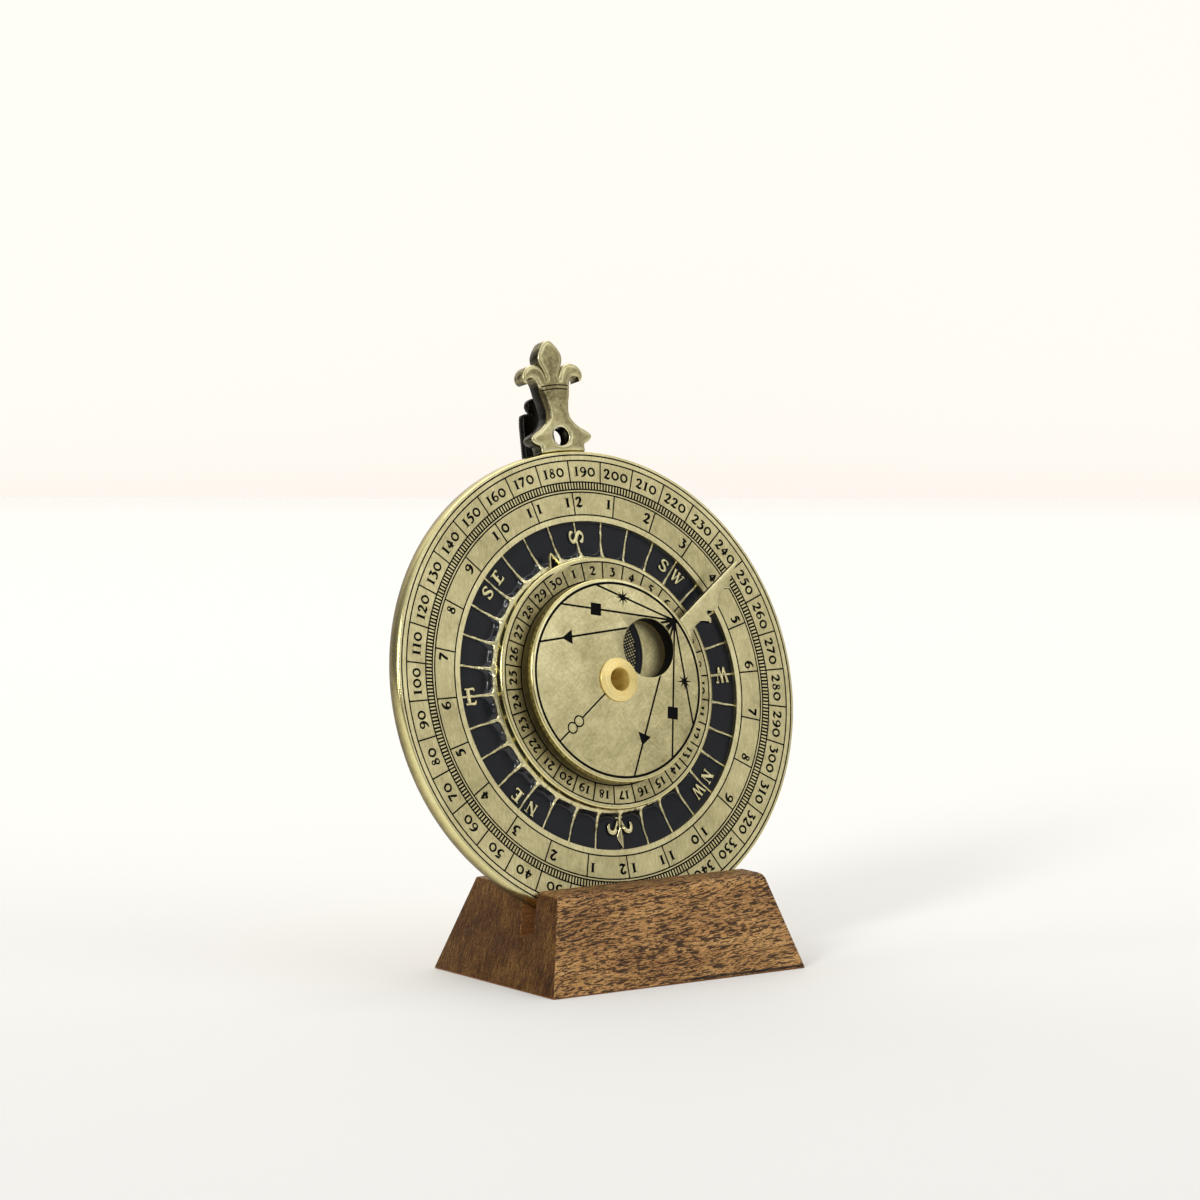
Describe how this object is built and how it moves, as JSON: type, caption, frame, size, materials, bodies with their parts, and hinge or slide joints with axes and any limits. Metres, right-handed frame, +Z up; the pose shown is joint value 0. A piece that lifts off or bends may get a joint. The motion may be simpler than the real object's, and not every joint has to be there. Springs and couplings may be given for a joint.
{
  "type": "nocturnal dial",
  "caption": "Desk nocturnal: a brass star dial with compass rose, moon-age disc, aspect disc with moon window and a toothed hour disc, leaning in a slotted wooden block.",
  "frame": {"origin": "on the table surface, under the middle of the overall box", "axes": "+Z up, the dial's face looks along -Y and leans back 15 degrees, +X to the reader's right"},
  "size_m": [0.0848, 0.0448, 0.1111],
  "materials": {
    "walnut": "open-pored brown hardwood, waxed",
    "aged_brass": "antiqued and brushed, lines filled with black",
    "turned_brass": "bright turned",
    "dark_brass": "dark patina",
    "black_enamel": "bluish-black cold enamel, semi-gloss",
    "spring_steel": "plain"
  },
  "bodies": {
    "stand": {"stand_block": "walnut"},
    "dial": {"main_plate": "aged_brass", "compass_enamel": "black_enamel", "handle": "aged_brass", "front_spacer": "turned_brass", "hub_sleeve": "turned_brass", "rear_spacer": "turned_brass", "spring_washer": "spring_steel", "flat_washer": "turned_brass", "hub_nut": "turned_brass"},
    "moon_age_disc": {"moon_age_disc": "aged_brass", "new_moon_enamel": "black_enamel"},
    "aspect_disc": {"aspect_disc": "aged_brass"},
    "hour_disc": {"hour_disc": "aged_brass"},
    "index_arm": {"index_arm": "dark_brass"}
  },
  "joints": [
    {"name": "dial_lift", "type": "slide", "parent": "stand", "child": "dial", "axis": [0, 0.2588, 0.9659], "range_m": [0, 0.03]},
    {"name": "moon_age_turn", "type": "hinge", "parent": "dial", "child": "moon_age_disc", "pos_m": [0, -0.0018, 0.05109], "axis": [0, -0.9659, 0.2588], "continuous": true},
    {"name": "aspect_turn", "type": "hinge", "parent": "dial", "child": "aspect_disc", "pos_m": [0, -0.00499, 0.05194], "axis": [0, -0.9659, 0.2588], "continuous": true},
    {"name": "hour_disc_turn", "type": "hinge", "parent": "dial", "child": "hour_disc", "pos_m": [0, 0.0039, 0.04956], "axis": [0, -0.9659, 0.2588], "continuous": true},
    {"name": "index_arm_turn", "type": "hinge", "parent": "dial", "child": "index_arm", "pos_m": [0, 0.00766, 0.04855], "axis": [0, -0.9659, 0.2588], "range_deg": [-130, 130]}
  ]
}
